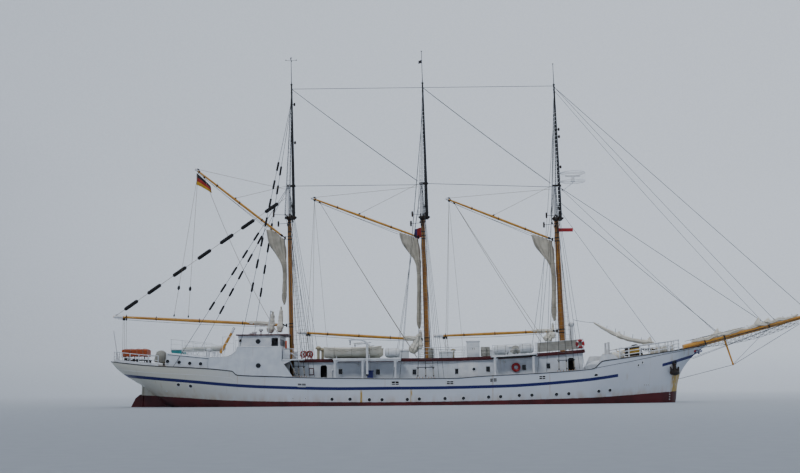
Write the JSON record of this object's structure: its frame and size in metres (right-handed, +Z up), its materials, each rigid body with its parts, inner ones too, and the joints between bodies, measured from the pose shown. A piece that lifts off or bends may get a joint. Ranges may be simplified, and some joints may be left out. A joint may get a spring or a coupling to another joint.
{
  "type": "three-masted gaff schooner, 1:2 scale model",
  "caption": "Half-size gaff schooner with steel hull, bridge and deckhouse, swinging booms and gaffs, davits, doors, rudder and screw.",
  "frame": {"origin": "on the centreline at the waterline amidships, at the waterline mount", "axes": "+X to the bow, +Y to port, +Z up"},
  "size_m": [32.3423, 4.22, 18.4603],
  "materials": {
    "hull_paint": "worn gloss paint on steel plating",
    "white_paint": "gloss paint on steel",
    "maroon_paint": "gloss paint",
    "deck_paint": "paint on steel and planking",
    "brown_varnish": "varnish",
    "golden_varnish": "varnish",
    "black_paint": "satin paint",
    "galvanized_wire": "galvanized and tarred",
    "sailcloth": "woven sailcloth",
    "orange_canvas": "woven tarpaulin",
    "cream_canvas": "coated fabric",
    "cream_paint": "weathered gel coat",
    "black_iron": "painted iron",
    "red_bottom_paint": "matt bottom paint",
    "bronze": "cast bronze"
  },
  "bodies": {
    "ship": {"hull": "hull_paint", "poop_trunk": "white_paint", "bridge_house": "white_paint", "wheelhouse_walls": "white_paint", "wheelhouse_roof": "maroon_paint", "deckhouse_walls": "white_paint", "boat_deck": "deck_paint", "deck_locker": "white_paint", "stern_box": "orange_canvas", "inflatable_boat": "cream_canvas", "windlass": "black_iron", "bulwark_starboard": "white_paint", "bulwark_port": "white_paint", "poop_rail_starboard": "white_paint", "poop_rail_port": "white_paint", "forecastle_rail_starboard": "white_paint", "forecastle_rail_port": "white_paint", "lifeboat_starboard": "cream_paint", "lifeboat_port": "cream_paint", "anchor_starboard": "black_iron", "anchor_port": "black_iron", "mizzen_mast": "brown_varnish", "mizzen_topmast": "black_paint", "main_mast": "brown_varnish", "main_topmast": "black_paint", "fore_mast": "brown_varnish", "fore_topmast": "black_paint", "mizzen_shrouds_starboard": "galvanized_wire", "mizzen_shrouds_port": "galvanized_wire", "main_shrouds_starboard": "galvanized_wire", "main_shrouds_port": "galvanized_wire", "fore_shrouds_starboard": "galvanized_wire", "fore_shrouds_port": "galvanized_wire", "bowsprit": "golden_varnish", "furled_headsails": "sailcloth", "furled_staysail": "sailcloth", "outer_stay": "galvanized_wire", "jib_stay": "galvanized_wire", "fore_stay": "galvanized_wire", "aft_triatic_stay": "galvanized_wire", "fore_triatic_stay": "galvanized_wire"},
    "rudder": {"rudder": "red_bottom_paint"},
    "propeller": {"propeller": "bronze"},
    "mizzen_boom": {"mizzen_boom": "golden_varnish"},
    "mizzen_gaff": {"mizzen_gaff": "golden_varnish", "mizzen_sail": "sailcloth"},
    "main_boom": {"main_boom": "golden_varnish"},
    "main_gaff": {"main_gaff": "golden_varnish", "main_sail": "sailcloth"},
    "fore_boom": {"fore_boom": "golden_varnish"},
    "fore_gaff": {"fore_gaff": "golden_varnish", "fore_sail": "sailcloth"},
    "davit_starboard": {"davit_starboard": "white_paint"},
    "wheelhouse_door_starboard": {"wheelhouse_door_starboard": "white_paint"},
    "aft_door_starboard": {"aft_door_starboard": "white_paint"},
    "front_door_starboard": {"front_door_starboard": "white_paint"},
    "davit_port": {"davit_port": "white_paint"},
    "wheelhouse_door_port": {"wheelhouse_door_port": "white_paint"},
    "aft_door_port": {"aft_door_port": "white_paint"},
    "front_door_port": {"front_door_port": "white_paint"}
  },
  "joints": [
    {"name": "rudder_turn", "type": "hinge", "parent": "ship", "child": "rudder", "pos_m": [-12.235, 0, 0], "axis": [0, 0, 1], "range_deg": [-35, 35]},
    {"name": "propeller_turn", "type": "hinge", "parent": "ship", "child": "propeller", "pos_m": [-11.65, 0, -0.89], "axis": [1, 0, 0], "continuous": true},
    {"name": "mizzen_boom_swing", "type": "hinge", "parent": "ship", "child": "mizzen_boom", "pos_m": [-5.67063, 0, 3.665], "axis": [0, 0, 1], "range_deg": [-18, 18]},
    {"name": "mizzen_gaff_swing", "type": "hinge", "parent": "ship", "child": "mizzen_gaff", "pos_m": [-5.75995, 0, 7.725], "axis": [0, 0, 1], "range_deg": [-18, 18]},
    {"name": "main_boom_swing", "type": "hinge", "parent": "ship", "child": "main_boom", "pos_m": [0.55999, 0, 2.955], "axis": [0, 0, 1], "range_deg": [-50, 50]},
    {"name": "main_gaff_swing", "type": "hinge", "parent": "ship", "child": "main_gaff", "pos_m": [0.4556, 0, 7.7], "axis": [0, 0, 1], "range_deg": [-50, 50]},
    {"name": "fore_boom_swing", "type": "hinge", "parent": "ship", "child": "fore_boom", "pos_m": [6.76262, 0, 3.29], "axis": [0, 0, 1], "range_deg": [-50, 50]},
    {"name": "fore_gaff_swing", "type": "hinge", "parent": "ship", "child": "fore_gaff", "pos_m": [6.66945, 0, 7.525], "axis": [0, 0, 1], "range_deg": [-50, 50]},
    {"name": "davit_starboard_swivel", "type": "hinge", "parent": "ship", "child": "davit_starboard", "pos_m": [-1.875, -2.045, 2], "axis": [0, 0, 1], "range_deg": [-90, 100]},
    {"name": "wheelhouse_door_starboard_hinge", "type": "hinge", "parent": "ship", "child": "wheelhouse_door_starboard", "pos_m": [-6.235, -1.2225, 2.6], "axis": [0, 0, 1], "range_deg": [0, 180]},
    {"name": "aft_door_starboard_hinge", "type": "hinge", "parent": "ship", "child": "aft_door_starboard", "pos_m": [-3.665, -1.3975, 1.45], "axis": [0, 0, 1], "range_deg": [-180, 0]},
    {"name": "front_door_starboard_hinge", "type": "hinge", "parent": "ship", "child": "front_door_starboard", "pos_m": [7.34, -1.3975, 1.45], "axis": [0, 0, 1], "range_deg": [-180, 0]},
    {"name": "davit_port_swivel", "type": "hinge", "parent": "ship", "child": "davit_port", "pos_m": [-1.875, 2.045, 2], "axis": [0, 0, 1], "range_deg": [-100, 90]},
    {"name": "wheelhouse_door_port_hinge", "type": "hinge", "parent": "ship", "child": "wheelhouse_door_port", "pos_m": [-6.235, 1.2225, 2.6], "axis": [0, 0, 1], "range_deg": [-180, 0]},
    {"name": "aft_door_port_hinge", "type": "hinge", "parent": "ship", "child": "aft_door_port", "pos_m": [-3.665, 1.3975, 1.45], "axis": [0, 0, 1], "range_deg": [0, 180]},
    {"name": "front_door_port_hinge", "type": "hinge", "parent": "ship", "child": "front_door_port", "pos_m": [7.34, 1.3975, 1.45], "axis": [0, 0, 1], "range_deg": [0, 180]}
  ]
}
